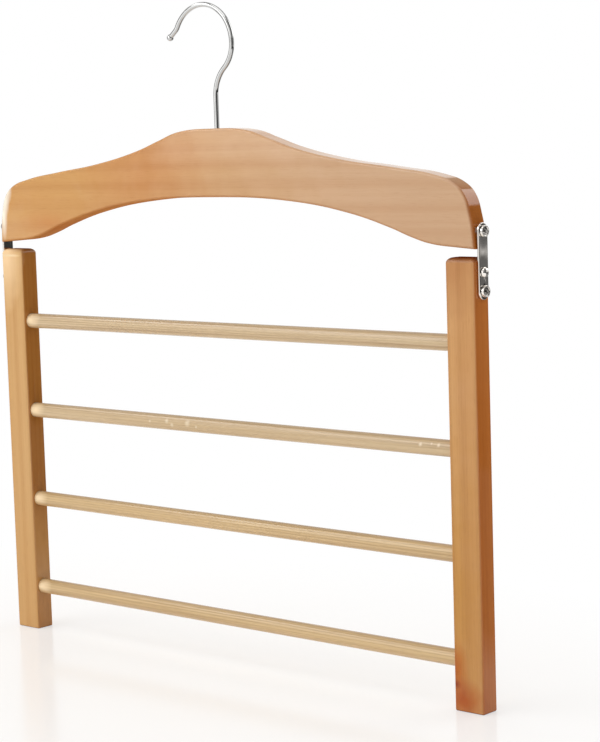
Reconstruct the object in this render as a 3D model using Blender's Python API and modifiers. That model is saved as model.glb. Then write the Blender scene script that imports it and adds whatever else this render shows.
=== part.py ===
# Multi tier trouser hanger: a wooden yoke on a swivel hook, with a ladder of four bars hung
# below the yoke's ends on two link plates.
# Metres, +Z up. The origin is where the hook rests on its rail, and the front faces -Y.

import math

import bmesh
import bpy
from mathutils import Matrix, Vector

# Running or seating gap between pieces, how far a cutter runs past a face, and how near two
# points of one mesh count as the same
piece_gap = 0.0003
cut_overrun = 0.001
weld_distance = 0.000005

# Ladder: two posts and four bars
hanger_width = 0.381
post_width = 0.0195
post_height = 0.2495
post_edge_radius = 0.0016
foot_edge_radius = 0.001
bar_count = 4
bar_diameter = 0.0095
bar_side_wall = 0.00155
bar_end_wall = 0.007
bar_end_chamfer = 0.0006
lowest_bar_height = 0.028
top_bar_drop = 0.0466

# Yoke: heights are above its flat ends
yoke_height = 0.0685
arch_rise = 0.0283
yoke_edge_radius = 0.003
link_gap = 0.0045

# Hook: radii are of the wire's centre line
wire_diameter = 0.003
hook_loop_radius = 0.0233
hook_side_radius = 0.0187
hook_neck_radius = 0.0207
hook_lean = math.radians(50)
hook_loop_turn = math.radians(152)
hook_stem_length = 0.0192
tip_flare_radius = 0.006
tip_flare_turn = math.radians(22)
tip_length = 0.006
tip_ball_diameter = 0.0042

# Nut and washer that hold the hook in the yoke
counterbore_depth = 0.008
counterbore_gap = 0.0008
nut_across_flats = 0.0055
nut_height = 0.0024
washer_diameter = 0.007
washer_thickness = 0.0005
stem_past_nut = 0.001

# Link plates, and the screws through them
plate_width = 0.0081
plate_thickness = 0.0015
plate_end_margin = 0.0046
pivot_rise = 0.0095
dome_drop = 0.008
lower_screw_drop = 0.0182
shank_diameter = 0.0035
screw_length = 0.015
screw_point_length = 0.003
head_diameter = 0.0064
head_height = 0.0014
head_rim_width = 0.0007
dish_depth = 0.0009
dome_diameter = 0.0056
dome_height = 0.0022

# What follows from those sizes
wood_thickness = bar_diameter + 2 * bar_side_wall
half_width = hanger_width / 2
half_thickness = wood_thickness / 2
bar_radius = bar_diameter / 2
wire_radius = wire_diameter / 2
shank_radius = shank_diameter / 2

# Heights, worked down from the rail: the inside of the hook's loop touches z = 0
loop_z = wire_radius - hook_loop_radius
side_x = hook_loop_radius - hook_side_radius
neck_rise = (hook_side_radius + hook_neck_radius) * math.sin(hook_lean)
neck_z = loop_z - neck_rise
swivel_x = side_x + (hook_side_radius + hook_neck_radius) * math.cos(hook_lean) - hook_neck_radius
crest_z = neck_z - hook_stem_length
yoke_end_z = crest_z - yoke_height
arch_z = yoke_end_z + arch_rise
pivot_z = yoke_end_z + pivot_rise
post_top_z = yoke_end_z - link_gap
foot_z = post_top_z - post_height
counterbore_z = arch_z + counterbore_depth
washer_top_z = counterbore_z - piece_gap
nut_top_z = washer_top_z - washer_thickness - piece_gap
stem_end_z = nut_top_z - nut_height - stem_past_nut

post_x = half_width - post_width / 2
bar_seat_depth = post_width - bar_end_wall
bar_length = hanger_width - 2 * bar_end_wall - 2 * piece_gap
bar_pitch = (post_height - top_bar_drop - lowest_bar_height) / (bar_count - 1)
plate_x = half_width + piece_gap + plate_thickness / 2
head_x = half_width + plate_thickness + 2 * piece_gap
screw_z = {
    "pivot": pivot_z,
    "domed": post_top_z - dome_drop,
    "lower": post_top_z - lower_screw_drop,
}

# The right half of the yoke's outline, crest to end and then back to the middle of the arch.
# Across, a share of the half width; up, a share of the yoke's height or of the arch's rise.
yoke_top_shares = [
    (0.0, 1.0),
    (0.150, 0.977),
    (0.234, 0.907),
    (0.332, 0.823),
    (0.516, 0.717),
    (0.711, 0.647),
    (0.858, 0.586),
    (0.937, 0.520),
    (0.973, 0.430),
    (0.993, 0.250),
]
yoke_arch_shares = [
    (0.947, 0.025),
    (0.842, 0.095),
    (0.774, 0.216),
    (0.700, 0.389),
    (0.547, 0.671),
    (0.316, 0.912),
    (0.0, 1.0),
]

# How finely round shapes are cut
bar_sides = 24
hole_sides = 24
turned_steps = 20
edge_segments = 3
arc_step = math.radians(9)

axis_to_x = {"left": (0, math.radians(-90), 0), "right": (0, math.radians(90), 0)}
side_sign = {"left": -1, "right": 1}


def clear_scene():
    for thing in list(bpy.data.objects):
        bpy.data.objects.remove(thing, do_unlink=True)


def new_collection(name):
    group = bpy.data.collections.new(name)
    bpy.context.scene.collection.children.link(group)
    return group


def new_material(name, colour, roughness, metallic=0.0):
    surface = bpy.data.materials.new(name)
    surface.use_nodes = True
    shader = surface.node_tree.nodes["Principled BSDF"]
    shader.inputs["Base Color"].default_value = (*colour, 1.0)
    shader.inputs["Roughness"].default_value = roughness
    shader.inputs["Metallic"].default_value = metallic
    return surface


clear_scene()
parts = new_collection("trouser_hanger")
cutters = new_collection("cutters")
varnished_wood = new_material("varnished_wood", (0.62, 0.34, 0.15), 0.35)
pale_wood = new_material("pale_wood", (0.66, 0.47, 0.27), 0.55)
chrome = new_material("chrome", (0.78, 0.78, 0.78), 0.08, 1.0)


def new_axis(name, place, parent=None):
    axis = bpy.data.objects.new(name, None)
    parts.objects.link(axis)
    axis.parent = parent
    axis.location = place - (parent.location if parent else Vector())
    return axis


# The hook stays on the rail, the yoke turns about the stem, and the ladder swings below it
rail_seat = new_axis("rail_seat", Vector((0, 0, 0)))
swivel_axis = new_axis("swivel_axis", Vector((swivel_x, 0, crest_z)), rail_seat)
swing_axis = new_axis("swing_axis", Vector((swivel_x, 0, pivot_z)), swivel_axis)


def world_place(axis):
    place = axis.location.copy()
    while axis.parent:
        axis = axis.parent
        place += axis.location
    return place


def add_piece(name, data, axis, place, surface, turn=(0, 0, 0)):
    piece = bpy.data.objects.new(name, data)
    parts.objects.link(piece)
    piece.parent = axis
    piece.location = place - world_place(axis)
    piece.rotation_euler = turn
    data.materials.append(surface)
    return piece


def smooth(mesh, sharpest=math.radians(35)):
    mesh.shade_smooth()
    mesh.set_sharp_from_angle(angle=sharpest)


def mesh_from_bmesh(name, shape):
    bmesh.ops.recalc_face_normals(shape, faces=shape.faces)
    mesh = bpy.data.meshes.new(name)
    shape.to_mesh(mesh)
    shape.free()
    smooth(mesh)
    return mesh


def mesh_from_curve(name, curve):
    """The curve's surface as one welded mesh, in the curve's own axes."""
    guide = bpy.data.objects.new(name + "_guide", curve)
    parts.objects.link(guide)
    graph = bpy.context.evaluated_depsgraph_get()
    loose = bpy.data.meshes.new_from_object(guide.evaluated_get(graph))
    bpy.data.objects.remove(guide, do_unlink=True)
    bpy.data.curves.remove(curve)
    shape = bmesh.new()
    shape.from_mesh(loose)
    bpy.data.meshes.remove(loose)
    bmesh.ops.remove_doubles(shape, verts=shape.verts, dist=weld_distance)
    return mesh_from_bmesh(name, shape)


def circle_points(radius, sides, centre=(0, 0), turn=0.0):
    return [
        (
            centre[0] + radius * math.cos(turn + math.tau * side / sides),
            centre[1] + radius * math.sin(turn + math.tau * side / sides),
        )
        for side in range(sides)
    ]


def flat_mesh(name, outlines, thickness):
    """A plate cut to the first outline, with the others as its holes."""
    curve = bpy.data.curves.new(name, "CURVE")
    curve.dimensions = "2D"
    curve.fill_mode = "BOTH"
    curve.extrude = thickness / 2
    for outline in outlines:
        spline = curve.splines.new("POLY")
        spline.points.add(len(outline) - 1)
        for point, (x, y) in zip(spline.points, outline):
            point.co = (x, y, 0, 1)
        spline.use_cyclic_u = True
    return mesh_from_curve(name, curve)


def cylinder_mesh(name, radius, length, sides, chamfer=0.0):
    shape = bmesh.new()
    bmesh.ops.create_cone(
        shape, cap_ends=True, segments=sides, radius1=radius, radius2=radius, depth=length
    )
    if chamfer:
        rims = [edge for edge in shape.edges if abs(edge.verts[0].co.z - edge.verts[1].co.z) < chamfer]
        bmesh.ops.bevel(shape, geom=rims, offset=chamfer, segments=1, affect="EDGES")
    return mesh_from_bmesh(name, shape)


def cut_hole(piece, name, radius, length, middle, turn=(0, 0, 0)):
    """Cuts a round hole of this length, centred on middle in world space."""
    hole = bpy.data.objects.new(name, cylinder_mesh(name, radius, length, hole_sides))
    cutters.objects.link(hole)
    hole.location = middle
    hole.rotation_euler = turn
    hole.hide_render = True
    hole.display_type = "WIRE"
    cut = piece.modifiers.new(name, "BOOLEAN")
    cut.operation = "DIFFERENCE"
    cut.object = hole


def arc_points(centre, radius, start, end):
    """Points on an arc in the XZ plane, without its first one."""
    steps = max(2, round(abs(end - start) / arc_step))
    angles = [start + (end - start) * step / steps for step in range(1, steps + 1)]
    return [centre + radius * Vector((math.cos(angle), 0, math.sin(angle))) for angle in angles]


def hook_route():
    """The wire's centre line, from the end under the nut to the ball at the tip."""
    loop = Vector((0, 0, loop_z))
    route = [Vector((swivel_x, 0, stem_end_z)), Vector((swivel_x, 0, neck_z))]
    neck = Vector((swivel_x + hook_neck_radius, 0, neck_z))
    route += arc_points(neck, hook_neck_radius, math.pi, math.pi - hook_lean)
    route += arc_points(Vector((side_x, 0, loop_z)), hook_side_radius, -hook_lean, 0)
    route += arc_points(loop, hook_loop_radius, 0, hook_loop_turn)
    outward = Vector((math.cos(hook_loop_turn), 0, math.sin(hook_loop_turn)))
    flare = loop + (hook_loop_radius + tip_flare_radius) * outward
    flare_end = hook_loop_turn + math.pi - tip_flare_turn
    route += arc_points(flare, tip_flare_radius, hook_loop_turn + math.pi, flare_end)
    route.append(route[-1] + tip_length * Vector((math.sin(flare_end), 0, -math.cos(flare_end))))
    return route


def make_hook():
    route = hook_route()
    curve = bpy.data.curves.new("hook", "CURVE")
    curve.dimensions = "3D"
    curve.bevel_depth = wire_radius
    curve.bevel_resolution = 2
    curve.use_fill_caps = True
    spline = curve.splines.new("POLY")
    spline.points.add(len(route) - 1)
    for point, place in zip(spline.points, route):
        point.co = (*place, 1)
    hook = add_piece("hook", mesh_from_curve("hook", curve), rail_seat, Vector(), chrome)

    ball_shape = bmesh.new()
    bmesh.ops.create_uvsphere(
        ball_shape, u_segments=turned_steps, v_segments=turned_steps // 2, radius=tip_ball_diameter / 2
    )
    ball = bpy.data.objects.new("tip_ball", mesh_from_bmesh("tip_ball", ball_shape))
    cutters.objects.link(ball)
    ball.location = route[-1]
    ball.hide_render = True
    ball.display_type = "WIRE"
    join = hook.modifiers.new("tip_ball", "BOOLEAN")
    join.operation = "UNION"
    join.object = ball


def make_nut_and_washer():
    bore = circle_points(wire_radius + piece_gap, hole_sides)
    corner_radius = nut_across_flats / math.sqrt(3)
    nut = flat_mesh("hook_nut", [circle_points(corner_radius, 6), bore], nut_height)
    add_piece("hook_nut", nut, rail_seat, Vector((swivel_x, 0, nut_top_z - nut_height / 2)), chrome)
    rim = circle_points(washer_diameter / 2, hole_sides)
    washer = flat_mesh("hook_washer", [rim, bore], washer_thickness)
    washer_z = washer_top_z - washer_thickness / 2
    add_piece("hook_washer", washer, swivel_axis, Vector((swivel_x, 0, washer_z)), chrome)


def yoke_curve():
    """The yoke's outline, standing on its flat ends."""
    top = [(across * half_width, up * yoke_height) for across, up in yoke_top_shares]
    arch = [(across * half_width, up * arch_rise) for across, up in yoke_arch_shares]
    right = top + [(half_width, 0.0)] + arch
    left = [(-x, z) for x, z in right[-2:0:-1]]
    curve = bpy.data.curves.new("yoke", "CURVE")
    curve.dimensions = "2D"
    curve.fill_mode = "BOTH"
    curve.resolution_u = 5
    curve.render_resolution_u = 0
    curve.extrude = half_thickness
    spline = curve.splines.new("BEZIER")
    outline = right + left
    spline.bezier_points.add(len(outline) - 1)
    for point, (x, z) in zip(spline.bezier_points, outline):
        point.co = (x, z, 0)
        kind = "VECTOR" if z == 0 else "AUTO"
        point.handle_left_type = kind
        point.handle_right_type = kind
    spline.use_cyclic_u = True
    return curve


def round_rims(mesh, radius):
    """Rounds the edges between a flat mesh's two faces and the wall that joins them."""
    shape = bmesh.new()
    shape.from_mesh(mesh)
    bmesh.ops.dissolve_limit(
        shape, angle_limit=math.radians(1), verts=shape.verts, edges=shape.edges
    )
    rims = [edge for edge in shape.edges if is_rim(edge)]
    bmesh.ops.bevel(shape, geom=rims, offset=radius, segments=edge_segments, profile=0.5, affect="EDGES")
    return mesh_from_bmesh(mesh.name, shape)


def is_rim(edge):
    """Whether the edge lies along the mesh's top or bottom face, with a wall on its other side."""
    level = abs(edge.verts[0].co.z - edge.verts[1].co.z) < weld_distance
    return level and edge.calc_face_angle() > math.radians(45)


def make_yoke():
    yoke = add_piece(
        "yoke",
        round_rims(mesh_from_curve("yoke", yoke_curve()), yoke_edge_radius),
        swivel_axis,
        Vector((swivel_x, 0, yoke_end_z)),
        varnished_wood,
        (math.radians(90), 0, 0),
    )
    stem_hole = yoke_height + 2 * cut_overrun
    stem_middle = Vector((swivel_x, 0, crest_z + cut_overrun - stem_hole / 2))
    cut_hole(yoke, "stem_bore", wire_radius + piece_gap, stem_hole, stem_middle)
    pocket = counterbore_depth + cut_overrun
    pocket_middle = Vector((swivel_x, 0, counterbore_z - pocket / 2))
    cut_hole(yoke, "nut_pocket", washer_diameter / 2 + counterbore_gap, pocket, pocket_middle)
    for side in side_sign:
        cut_screw_hole(yoke, side, "pivot")


def cut_screw_hole(piece, side, kind):
    """The blind hole that this screw's shank sits in."""
    depth = screw_length + piece_gap
    middle = head_x + cut_overrun - (depth + cut_overrun) / 2
    place = Vector((swivel_x + side_sign[side] * middle, 0, screw_z[kind]))
    cut_hole(
        piece,
        side + "_" + kind + "_screw_hole",
        shank_radius + piece_gap,
        depth + cut_overrun,
        place,
        axis_to_x[side],
    )


def post_mesh(name):
    """A square-cut stick with its long and top edges rounded and its foot eased."""
    shape = bmesh.new()
    bmesh.ops.create_cube(shape, size=1)
    bmesh.ops.scale(shape, vec=(post_width, wood_thickness, post_height), verts=shape.verts)
    foot = [edge for edge in shape.edges if all(vert.co.z < 0 for vert in edge.verts)]
    others = [edge for edge in shape.edges if edge not in foot]
    bmesh.ops.bevel(
        shape, geom=others, offset=post_edge_radius, segments=edge_segments, profile=0.5, affect="EDGES"
    )
    lowest = min(vert.co.z for vert in shape.verts)
    foot = [edge for edge in shape.edges if all(vert.co.z - lowest < piece_gap for vert in edge.verts)]
    bmesh.ops.bevel(shape, geom=foot, offset=foot_edge_radius, segments=2, profile=0.5, affect="EDGES")
    return mesh_from_bmesh(name, shape)


def bar_z(number):
    """The height of this bar's axis; bar 1 is the top one."""
    return post_top_z - top_bar_drop - (number - 1) * bar_pitch


def make_post(side):
    sign = side_sign[side]
    name = side + "_post"
    middle = Vector((swivel_x + sign * post_x, 0, post_top_z - post_height / 2))
    post = add_piece(name, post_mesh(name), swing_axis, middle, varnished_wood)
    seat = bar_seat_depth + cut_overrun
    seat_x = swivel_x + sign * (half_width - bar_end_wall - seat / 2)
    for number in range(1, bar_count + 1):
        place = Vector((seat_x, 0, bar_z(number)))
        cut_hole(post, f"{side}_seat_{number}", bar_radius + piece_gap, seat, place, axis_to_x[side])
    for kind in ("domed", "lower"):
        cut_screw_hole(post, side, kind)


def make_bar(number):
    name = f"bar_{number}"
    mesh = cylinder_mesh(name, bar_radius, bar_length, bar_sides, bar_end_chamfer)
    place = Vector((swivel_x, 0, bar_z(number)))
    add_piece(name, mesh, swing_axis, place, pale_wood, axis_to_x["right"])


def make_plate(side):
    """A long plate with round ends and a hole for each of its three screws."""
    top_z = screw_z["pivot"] + plate_end_margin
    bottom_z = screw_z["lower"] - plate_end_margin
    middle_z = (top_z + bottom_z) / 2
    end_radius = plate_width / 2
    end_rise = (top_z - bottom_z) / 2 - end_radius
    steps = hole_sides // 2
    outline = []
    for step in range(2 * (steps + 1)):
        upper = step <= steps
        turn = math.pi * (step if upper else step - 1) / steps
        rise = end_rise if upper else -end_rise
        outline.append((end_radius * math.cos(turn), end_radius * math.sin(turn) + rise))
    hole_radius = shank_radius + piece_gap
    holes = [circle_points(hole_radius, hole_sides, (0, z - middle_z)) for z in screw_z.values()]
    name = side + "_link_plate"
    add_piece(
        name,
        flat_mesh(name, [outline, *holes], plate_thickness),
        swing_axis,
        Vector((swivel_x + side_sign[side] * plate_x, 0, middle_z)),
        chrome,
        (math.radians(90), 0, math.radians(90)),
    )


def dished_head():
    """Half the section of a flat screw head with a raised rim and a dished middle."""
    radius = head_diameter / 2
    dish_radius = radius - head_rim_width
    return [
        (0, head_height - dish_depth),
        (dish_radius / 2, head_height - dish_depth),
        (dish_radius, head_height - head_rim_width / 2),
        (radius - head_rim_width / 2, head_height),
        (radius, head_height - head_rim_width / 2),
        (radius, 0),
    ]


def domed_head():
    """Half the section of a round screw head."""
    steps = 6
    radius = dome_diameter / 2
    points = []
    for step in range(steps + 1):
        angle = math.pi / 2 * step / steps
        points.append((radius * math.sin(angle), dome_height * math.cos(angle)))
    return points


def make_screw(side, kind, axis):
    head = domed_head() if kind == "domed" else dished_head()
    shank = [
        (shank_radius, 0),
        (shank_radius, screw_point_length - screw_length),
        (0, -screw_length),
    ]
    profile = bpy.data.meshes.new(side + "_" + kind + "_screw")
    points = [(radius, 0, height) for radius, height in head + shank]
    profile.from_pydata(points, [(end - 1, end) for end in range(1, len(points))], [])
    place = Vector((swivel_x + side_sign[side] * head_x, 0, screw_z[kind]))
    screw = add_piece(profile.name, profile, axis, place, chrome, axis_to_x[side])
    turning = screw.modifiers.new("turned", "SCREW")
    turning.steps = turned_steps
    turning.render_steps = turned_steps
    turning.use_merge_vertices = True
    turning.merge_threshold = weld_distance


make_hook()
make_nut_and_washer()
make_yoke()
for side in side_sign:
    make_post(side)
    make_plate(side)
    make_screw(side, "pivot", swivel_axis)
    make_screw(side, "domed", swing_axis)
    make_screw(side, "lower", swing_axis)
for number in range(1, bar_count + 1):
    make_bar(number)

print("feet at z", round(foot_z, 6), "and x", round(swivel_x - post_x, 6), round(swivel_x + post_x, 6))
print("stem at x", round(swivel_x, 6), "crest at z", round(crest_z, 6), "link pivots at z", round(pivot_z, 6))
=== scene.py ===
# Multi tier trouser hanger: the finished look of every piece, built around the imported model.
# Metres, +Z up. The origin is where the hook rests on its rail, and the front faces -Y.

import math

import bmesh
import bpy
from mathutils import Matrix, Vector


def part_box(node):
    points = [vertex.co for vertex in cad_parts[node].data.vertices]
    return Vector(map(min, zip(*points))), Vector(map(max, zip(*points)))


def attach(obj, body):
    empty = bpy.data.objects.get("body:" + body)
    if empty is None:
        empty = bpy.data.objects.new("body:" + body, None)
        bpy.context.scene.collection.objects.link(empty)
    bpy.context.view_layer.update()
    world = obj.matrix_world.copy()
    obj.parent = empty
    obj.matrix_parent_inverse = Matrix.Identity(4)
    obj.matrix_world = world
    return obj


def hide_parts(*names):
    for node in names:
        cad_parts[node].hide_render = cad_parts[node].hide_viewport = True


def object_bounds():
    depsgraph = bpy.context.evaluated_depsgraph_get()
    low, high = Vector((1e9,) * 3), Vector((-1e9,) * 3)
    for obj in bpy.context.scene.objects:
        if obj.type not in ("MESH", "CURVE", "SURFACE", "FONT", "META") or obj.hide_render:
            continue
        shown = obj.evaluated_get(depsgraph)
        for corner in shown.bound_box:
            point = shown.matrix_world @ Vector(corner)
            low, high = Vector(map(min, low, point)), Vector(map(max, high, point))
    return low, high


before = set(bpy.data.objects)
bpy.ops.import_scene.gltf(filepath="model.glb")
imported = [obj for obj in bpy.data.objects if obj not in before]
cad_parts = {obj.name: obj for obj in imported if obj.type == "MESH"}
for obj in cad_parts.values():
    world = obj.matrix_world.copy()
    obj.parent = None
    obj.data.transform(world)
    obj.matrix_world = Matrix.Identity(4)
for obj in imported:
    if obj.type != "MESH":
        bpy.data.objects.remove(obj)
cadLow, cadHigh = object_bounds()

mm = 0.001
levelTolerance = 0.01 * mm
mergeDistance = 0.002 * mm
sharpestAngle = 35
flatFaceWeight = 80
sideSign = {"left": -1, "right": 1}
barNumbers = (1, 2, 3, 4)
yokeLow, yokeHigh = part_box("yoke")
stemX = (yokeLow.x + yokeHigh.x) / 2
halfThickness = yokeHigh.y
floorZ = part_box("left_post")[0].z
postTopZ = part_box("left_post")[1].z
print("stage 1: frame loaded,", len(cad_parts), "nodes")


# Small helpers for meshes

def nodeMiddle(node):
    low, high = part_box(node)
    return (low + high) / 2


def pieceFromMesh(name, mesh):
    piece = bpy.data.objects.new(name, mesh)
    bpy.context.scene.collection.objects.link(piece)
    return piece


def meshFromShape(name, shape, sharpest=sharpestAngle):
    bmesh.ops.remove_doubles(shape, verts=shape.verts, dist=mergeDistance)
    bmesh.ops.recalc_face_normals(shape, faces=shape.faces)
    mesh = bpy.data.meshes.new(name)
    shape.to_mesh(mesh)
    shape.free()
    mesh.shade_smooth()
    mesh.set_sharp_from_angle(angle=math.radians(sharpest))
    return mesh


def shiftAll(shape, offset):
    bmesh.ops.translate(shape, vec=offset, verts=shape.verts)


def turnAll(shape, turn):
    bmesh.ops.rotate(shape, cent=(0, 0, 0), matrix=turn, verts=shape.verts)


def alongX(shape, sign):
    # turns a shape made along +Z so that it runs along X, towards that side
    turnAll(shape, Matrix.Rotation(sign * math.radians(90), 3, "Y"))


def isLevel(edge):
    # whether the edge's two ends are equally high
    return abs(edge.verts[0].co.z - edge.verts[1].co.z) < levelTolerance


def roundEdges(shape, edges, radius, segments):
    bmesh.ops.bevel(
        shape,
        geom=edges,
        offset=radius,
        segments=segments,
        profile=0.5,
        affect="EDGES",
        material=-1,
    )


def roundCutter(radius, length, middle, axis="Z", farRadius=None, sides=48):
    shape = bmesh.new()
    endRadius = radius if farRadius is None else farRadius
    bmesh.ops.create_cone(
        shape, cap_ends=True, segments=sides, radius1=radius, radius2=endRadius, depth=length
    )
    if axis == "X":
        alongX(shape, 1)
    shiftAll(shape, middle)
    return pieceFromMesh("cutter", meshFromShape("cutter", shape))


def finishMesh(piece, cutters=(), flatFaces=True):
    # cuts the piece, evens its shading across large flat faces and keeps the result as its mesh
    for cutter in cutters:
        cut = piece.modifiers.new("cut", "BOOLEAN")
        cut.operation = "DIFFERENCE"
        cut.object = cutter
    if flatFaces:
        even = piece.modifiers.new("even", "WEIGHTED_NORMAL")
        even.keep_sharp = True
        even.weight = flatFaceWeight
    graph = bpy.context.evaluated_depsgraph_get()
    made = bpy.data.meshes.new_from_object(piece.evaluated_get(graph))
    piece.modifiers.clear()
    old = piece.data
    piece.data = made
    bpy.data.meshes.remove(old)
    made.name = piece.name
    for cutter in cutters:
        bpy.data.objects.remove(cutter, do_unlink=True)


def settle(piece, body, node, material):
    piece.data.materials.clear()
    piece.data.materials.append(material)
    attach(piece, body)
    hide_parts(node)


# Small helpers for materials

def addNode(tree, kind, **settings):
    node = tree.nodes.new(kind)
    for name, value in settings.items():
        setattr(node, name, value)
    return node


def newGroup(name, inputs, outputs):
    # a shader node group, with each socket's label and kind
    group = bpy.data.node_groups.new(name, "ShaderNodeTree")
    for way, sockets in (("INPUT", inputs), ("OUTPUT", outputs)):
        for label, kind in sockets.items():
            group.interface.new_socket(label, in_out=way, socket_type="NodeSocket" + kind)
    return group, group.nodes.new("NodeGroupInput"), group.nodes.new("NodeGroupOutput")


def feed(tree, socket, value):
    # links another node's output to the socket, or sets a fixed value
    if isinstance(value, bpy.types.NodeSocket):
        tree.links.new(value, socket)
    elif value is not None:
        socket.default_value = value


def addMath(tree, operation, first, second=None, clamp=False):
    node = addNode(tree, "ShaderNodeMath", operation=operation, use_clamp=clamp)
    feed(tree, node.inputs[0], first)
    feed(tree, node.inputs[1], second)
    return node.outputs[0]


def addVectorMath(tree, operation, first, second=None, third=None):
    node = addNode(tree, "ShaderNodeVectorMath", operation=operation)
    for socket, value in zip(node.inputs, (first, second, third)):
        feed(tree, socket, value)
    isNumber = operation in ("LENGTH", "DOT_PRODUCT")
    return node.outputs["Value" if isNumber else "Vector"]


def addMix(tree, factor, first, second, blend="MIX"):
    # the three sockets are the node's factor and its two colours
    node = addNode(tree, "ShaderNodeMix", data_type="RGBA", blend_type=blend)
    for index, value in zip((0, 6, 7), (factor, first, second)):
        feed(tree, node.inputs[index], value)
    return node.outputs[2]


def addRange(tree, value, fromLow, fromHigh, toLow=0, toHigh=1):
    # the value, from one range to another, and held inside it
    node = addNode(tree, "ShaderNodeMapRange", clamp=True)
    for socket, given in zip(node.inputs, (value, fromLow, fromHigh, toLow, toHigh)):
        feed(tree, socket, given)
    return node.outputs["Result"]


def addNoise(tree, vector, stretch, detail, roughness=0.55):
    # noise whose cells are 1 / stretch metres long on each axis
    noise = addNode(tree, "ShaderNodeTexNoise")
    feed(tree, noise.inputs["Vector"], addVectorMath(tree, "MULTIPLY", vector, stretch))
    noise.inputs["Scale"].default_value = 1
    noise.inputs["Detail"].default_value = detail
    noise.inputs["Roughness"].default_value = roughness
    return noise.outputs["Fac"]


def srgb(red, green, blue):
    # a colour as it reads on screen, 0 to 255, made linear by the usual sRGB curve
    parts = []
    for value in (red, green, blue):
        share = value / 255
        parts.append(share / 12.92 if share <= 0.04045 else ((share + 0.055) / 1.055) ** 2.4)
    return (*parts, 1.0)


# Wood: growth rings, fibres and pores run along the grain, which is X of the vector

woodGroupLook = {
    "ringStretch": (0.10, 1, 1),
    "fibreStretch": (5, 420, 420),
    "threadStretch": (11, 1500, 1500),
    "poreStretch": (120, 2600, 2600),
    "broadStretch": (4, 34, 34),
    "ringDistortion": 3.2,
    "ringDetail": 2,
    "ringDetailScale": 0.45,
    "ringSharpness": 1.7,
    "poreEdge": (0.60, 0.70),
    "broadEdge": (0.35, 0.68),
    "fibreMiddle": 0.42,
    "fibreStrength": 1.6,
    "threadMiddle": 0.5,
    "warmShare": 0.55,
    "fibreHeight": 0.5,
    "threadHeight": 0.35,
    "poreHeight": 0.4,
    "broadDullness": 0.6,
    "fibreDullness": 0.4,
}


def makeWoodGroup(look):
    group, given, made = newGroup(
        "woodGrain",
        {
            "Vector": "Vector",
            "Ring Density": "Float",
            "Ring Depth": "Float",
            "Fibre Depth": "Float",
            "Pore Depth": "Float",
            "Pale": "Color",
            "Deep": "Color",
            "Warm": "Color",
        },
        {"Color": "Color", "Height": "Float", "Dullness": "Float"},
    )

    def times(value, share):
        return addMath(group, "MULTIPLY", value, share)

    vector = given.outputs["Vector"]
    rings = addNode(group, "ShaderNodeTexWave", wave_type="RINGS", rings_direction="X")
    stretched = addVectorMath(group, "MULTIPLY", vector, look["ringStretch"])
    feed(group, rings.inputs["Vector"], stretched)
    feed(group, rings.inputs["Scale"], given.outputs["Ring Density"])
    feed(group, rings.inputs["Distortion"], look["ringDistortion"])
    feed(group, rings.inputs["Detail"], look["ringDetail"])
    feed(group, rings.inputs["Detail Scale"], look["ringDetailScale"])
    ringMask = addMath(group, "POWER", rings.outputs["Fac"], look["ringSharpness"])

    fibres = addNoise(group, vector, look["fibreStretch"], 3, 0.6)
    threads = addNoise(group, vector, look["threadStretch"], 2, 0.6)
    pores = addRange(group, addNoise(group, vector, look["poreStretch"], 1), *look["poreEdge"])
    broad = addRange(group, addNoise(group, vector, look["broadStretch"], 2), *look["broadEdge"])

    ringPart = times(ringMask, given.outputs["Ring Depth"])
    aboveMiddle = addMath(group, "SUBTRACT", fibres, look["fibreMiddle"])
    fibrePart = times(aboveMiddle, given.outputs["Fibre Depth"])
    aboveMiddle = addMath(group, "SUBTRACT", threads, look["threadMiddle"])
    threadPart = times(aboveMiddle, given.outputs["Fibre Depth"])
    depth = addMath(group, "ADD", ringPart, times(fibrePart, look["fibreStrength"]))
    depth = addMath(group, "ADD", depth, threadPart, clamp=True)
    colour = addMix(group, depth, given.outputs["Pale"], given.outputs["Deep"])
    colour = addMix(group, times(broad, look["warmShare"]), colour, given.outputs["Warm"])
    poreMask = times(pores, given.outputs["Pore Depth"])
    colour = addMix(group, poreMask, colour, given.outputs["Deep"], "MULTIPLY")
    feed(group, made.inputs["Color"], colour)

    height = times(fibres, look["fibreHeight"])
    height = addMath(group, "ADD", height, times(threads, look["threadHeight"]))
    height = addMath(group, "SUBTRACT", height, times(pores, look["poreHeight"]))
    feed(group, made.inputs["Height"], height)
    dullness = times(broad, look["broadDullness"])
    dullness = addMath(group, "ADD", dullness, times(fibres, look["fibreDullness"]))
    feed(group, made.inputs["Dullness"], dullness)
    return group


def makeFacingGroup():
    # how squarely the surface faces one direction, or both ways along it
    group, given, made = newGroup(
        "facing",
        {"Direction": "Vector", "Both Ways": "Float", "Sharpness": "Float"},
        {"Mask": "Float"},
    )
    normal = addNode(group, "ShaderNodeTexCoord").outputs["Normal"]
    along = addVectorMath(group, "DOT_PRODUCT", normal, given.outputs["Direction"])
    behind = addMath(group, "MULTIPLY", along, -1)
    behind = addMath(group, "MULTIPLY", behind, given.outputs["Both Ways"])
    facing = addMath(group, "MAXIMUM", addMath(group, "MAXIMUM", along, behind), 0)
    mask = addMath(group, "POWER", facing, given.outputs["Sharpness"])
    feed(group, made.inputs["Mask"], mask)
    return group


stainAndLightGroupLook = {"raggedStretch": (60, 160, 60), "raggedDepth": 0.5, "softFrom": 0.1}


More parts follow.
